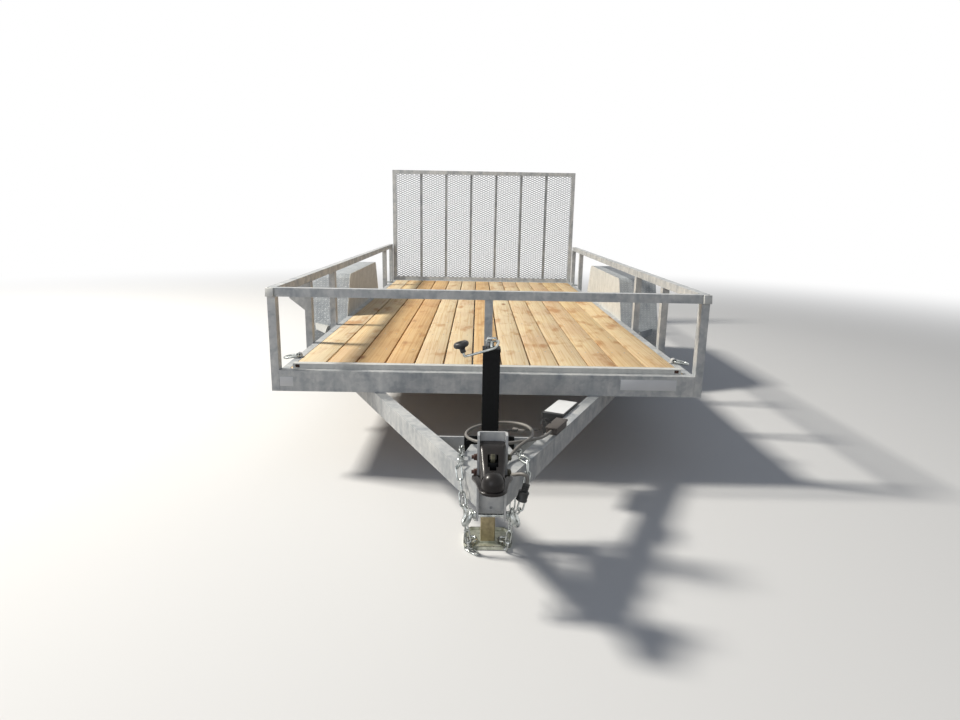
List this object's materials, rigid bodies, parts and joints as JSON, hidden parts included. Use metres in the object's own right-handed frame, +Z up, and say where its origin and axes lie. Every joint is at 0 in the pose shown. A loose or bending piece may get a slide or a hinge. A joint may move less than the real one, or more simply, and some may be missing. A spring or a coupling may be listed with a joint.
{
  "type": "tandem-axle utility trailer with ramp gate",
  "caption": "Open utility trailer: plank deck, tube rails, fendered wheels on tandem axles, mesh ramp gate at the rear, A-frame tongue with ball coupler and drop leg jack.",
  "frame": {"origin": "on the ground, on the centreline, halfway between the coupler's nose and the gate hinge's rear edge", "axes": "-Y forward towards the coupler, +X to the right in a view from the coupler, +Z up"},
  "size_m": [2.54, 5.574, 1.703],
  "materials": {
    "galvanised_steel": "mottled hot-dip zinc, satin",
    "bright_zinc": "bright zinc plate",
    "pine": "sawn softwood boards, unpainted",
    "tyre_rubber": "black tyre rubber",
    "rim_steel": "silver paint, satin",
    "black_paint": "black powder coat, semi-gloss",
    "coupler_paint": "dark grey-bronze paint, satin",
    "black_plastic": "moulded black plastic",
    "cable_jacket": "dark grey flexible jacket",
    "red_lens": "moulded red lens"
  },
  "bodies": {
    "chassis": {"axle_beams": "black_paint", "battery_box": "black_plastic", "board_retainer": "galvanised_steel", "cable_plug": "black_plastic", "coupler_bolts": "bright_zinc", "coupler_channel": "galvanised_steel", "coupler_housing": "coupler_paint", "coupler_latch": "black_paint", "deck_boards": "pine", "deck_crossmembers": "galvanised_steel", "fender_left": "galvanised_steel", "fender_panel_left": "galvanised_steel", "fender_panel_right": "galvanised_steel", "fender_right": "galvanised_steel", "front_centre_post": "galvanised_steel", "front_crossmember": "galvanised_steel", "front_rail": "galvanised_steel", "gate_hinges": "galvanised_steel", "jack_crank": "bright_zinc", "jack_knob": "black_plastic", "jack_tube": "black_paint", "junction_box": "black_plastic", "leaf_springs": "black_paint", "rail_gusset": "galvanised_steel", "rail_posts_left": "galvanised_steel", "rail_posts_right": "galvanised_steel", "rear_crossmember": "galvanised_steel", "safety_chain_left": "bright_zinc", "safety_chain_right": "bright_zinc", "side_member_left": "galvanised_steel", "side_member_right": "galvanised_steel", "side_rail_left": "galvanised_steel", "side_rail_right": "galvanised_steel", "spring_equalisers": "black_paint", "spring_hangers": "galvanised_steel", "tail_lamps": "red_lens", "tie_clips": "galvanised_steel", "tie_rings": "bright_zinc", "tongue_apex_plate": "galvanised_steel", "tongue_beam_left": "galvanised_steel", "tongue_beam_right": "galvanised_steel", "tongue_crossbar": "galvanised_steel", "trailer_cable": "cable_jacket"},
    "ramp_gate": {"gate_bars": "galvanised_steel", "gate_frame": "galvanised_steel", "gate_mesh_falling": "galvanised_steel", "gate_mesh_rising": "galvanised_steel"},
    "jack_leg": {"jack_leg": "bright_zinc"},
    "wheel_front_left": {"rim_front_left": "rim_steel", "tyre_front_left": "tyre_rubber"},
    "wheel_front_right": {"rim_front_right": "rim_steel", "tyre_front_right": "tyre_rubber"},
    "wheel_rear_left": {"rim_rear_left": "rim_steel", "tyre_rear_left": "tyre_rubber"},
    "wheel_rear_right": {"rim_rear_right": "rim_steel", "tyre_rear_right": "tyre_rubber"}
  },
  "joints": [
    {"name": "wheel_front_left_spin", "type": "hinge", "parent": "chassis", "child": "wheel_front_left", "pos_m": [-1.147, 0.42, 0.343], "axis": [1, 0, 0], "continuous": true},
    {"name": "wheel_front_right_spin", "type": "hinge", "parent": "chassis", "child": "wheel_front_right", "pos_m": [1.147, 0.42, 0.343], "axis": [1, 0, 0], "continuous": true},
    {"name": "wheel_rear_left_spin", "type": "hinge", "parent": "chassis", "child": "wheel_rear_left", "pos_m": [-1.147, 1.26, 0.343], "axis": [1, 0, 0], "continuous": true},
    {"name": "wheel_rear_right_spin", "type": "hinge", "parent": "chassis", "child": "wheel_rear_right", "pos_m": [1.147, 1.26, 0.343], "axis": [1, 0, 0], "continuous": true},
    {"name": "ramp_gate_hinge", "type": "hinge", "parent": "chassis", "child": "ramp_gate", "pos_m": [0, 2.771, 0.488], "axis": [-1, 0, 0], "range_deg": [0, 113]},
    {"name": "jack_slide", "type": "slide", "parent": "chassis", "child": "jack_leg", "axis": [0, 0, 1], "range_m": [0, 0.3]}
  ]
}
